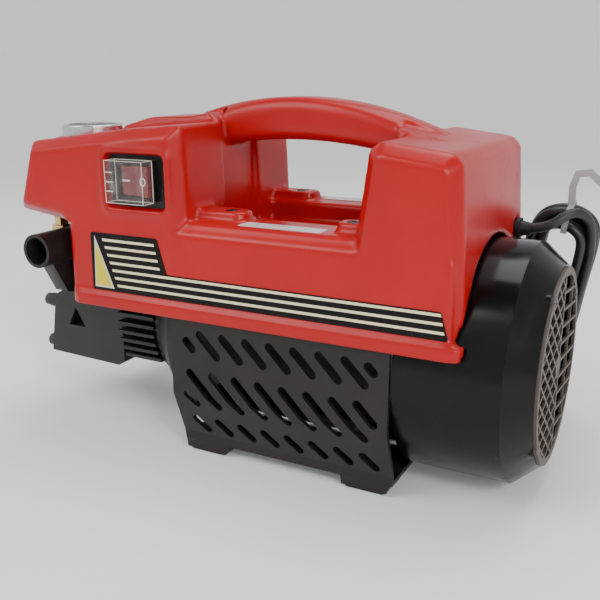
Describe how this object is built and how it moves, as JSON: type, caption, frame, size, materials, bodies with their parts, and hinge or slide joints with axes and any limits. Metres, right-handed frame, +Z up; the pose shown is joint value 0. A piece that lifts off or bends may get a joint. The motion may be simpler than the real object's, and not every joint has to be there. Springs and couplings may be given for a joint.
{
  "type": "pressure washer",
  "caption": "Portable electric pressure washer with a red top cover and carry handle, black slotted cradle, round fan end, finned pump, gauge, guarded switch and coiled mains cord.",
  "frame": {"origin": "on the floor at the middle of the machine's length and width, cord left out", "axes": "+X along the motor shaft towards the fan grille, +Z up, -Y the side with the switch and the water inlet"},
  "size_m": [0.41, 0.2336, 0.2512],
  "materials": {
    "red_plastic": "satin",
    "black_plastic": "satin",
    "gloss_black": "gloss",
    "grille_plastic": "matte",
    "decal_film": "satin",
    "label_film": "satin",
    "foot_rubber": "matte",
    "dark_aluminium": "satin",
    "plain_aluminium": "satin",
    "steel": "satin",
    "black_screws": "satin",
    "zinc_screws": "satin",
    "laminations": "matte",
    "copper_wire": "satin",
    "brass_fittings": "satin",
    "fan_plastic": "matte",
    "seal_rubber": "matte",
    "hose_rubber": "satin",
    "gauge_steel": "gloss",
    "dial_white": "matte",
    "needle_black": "satin",
    "clear_lens": "gloss",
    "clear_guard": "gloss",
    "rocker_red": "gloss",
    "switch_black": "satin",
    "capacitor_case": "satin",
    "wire_sleeve": "satin",
    "cord_jacket": "satin",
    "tie_grey": "satin",
    "plug_plastic": "satin",
    "pin_brass": "gloss"
  },
  "bodies": {
    "machine": {"top_cover": "red_plastic", "carry_handle": "red_plastic", "handle_cap": "red_plastic", "cover_screws": "black_screws", "side_decals": "decal_film", "saddle_labels": "label_film", "base_cradle": "black_plastic", "foot_pads": "foot_rubber", "motor_housing": "dark_aluminium", "front_end_bell": "dark_aluminium", "rear_end_bell": "plain_aluminium", "tie_rods": "zinc_screws", "stator_core": "laminations", "stator_windings": "copper_wire", "front_bearing": "steel", "rear_bearing": "steel", "fan_shroud": "gloss_black", "fan_grille": "grille_plastic", "grille_screws": "black_screws", "crankcase": "dark_aluminium", "thrust_bearing": "steel", "plungers": "steel", "plunger_seals": "seal_rubber", "plunger_springs": "steel", "pump_head": "dark_aluminium", "head_bolts": "black_screws", "valve_caps": "brass_fittings", "inlet_elbow": "black_plastic", "inlet_filter": "grille_plastic", "outlet_fitting": "brass_fittings", "regulator_body": "brass_fittings", "oil_plug": "black_plastic", "gauge_case": "gauge_steel", "gauge_bezel": "gauge_steel", "gauge_dial": "dial_white", "gauge_lens": "clear_lens", "gauge_fitting": "brass_fittings", "gauge_hose": "hose_rubber", "switch_housing": "switch_black", "capacitor": "capacitor_case", "capacitor_clip": "zinc_screws", "wiring_loom": "wire_sleeve", "strain_relief": "plug_plastic", "cord_lead": "cord_jacket", "cord_tail": "cord_jacket", "cord_hank": "cord_jacket", "cord_tie": "tie_grey", "plug_body": "plug_plastic", "plug_pins": "pin_brass"},
    "rotor": {"motor_shaft": "steel", "rotor_core": "laminations", "cooling_fan": "fan_plastic", "swash_plate": "steel"},
    "rocker": {"switch_rocker": "rocker_red"},
    "switch_guard": {"switch_cover": "clear_guard"},
    "needle": {"gauge_needle": "needle_black"},
    "knob": {"regulator_knob": "black_plastic"}
  },
  "joints": [
    {"name": "shaft_spin", "type": "hinge", "parent": "machine", "child": "rotor", "pos_m": [0, 0, 0.0837], "axis": [1, 0, 0], "continuous": true},
    {"name": "rocker_tilt", "type": "hinge", "parent": "machine", "child": "rocker", "pos_m": [-0.07, -0.076, 0.197], "axis": [0, 0, 1], "range_deg": [0, 16]},
    {"name": "switch_guard_hinge", "type": "hinge", "parent": "machine", "child": "switch_guard", "pos_m": [-0.0874, -0.083, 0.1975], "axis": [0, 0, -1], "range_deg": [0, 90]},
    {"name": "needle_sweep", "type": "hinge", "parent": "machine", "child": "needle", "pos_m": [-0.143, -0.037, 0.2209], "axis": [0, 0, -1], "range_deg": [0, 270]},
    {"name": "knob_turn", "type": "hinge", "parent": "machine", "child": "knob", "pos_m": [-0.16, 0.02, 0.134], "axis": [0, 0, 1], "range_deg": [-270, 270]}
  ]
}
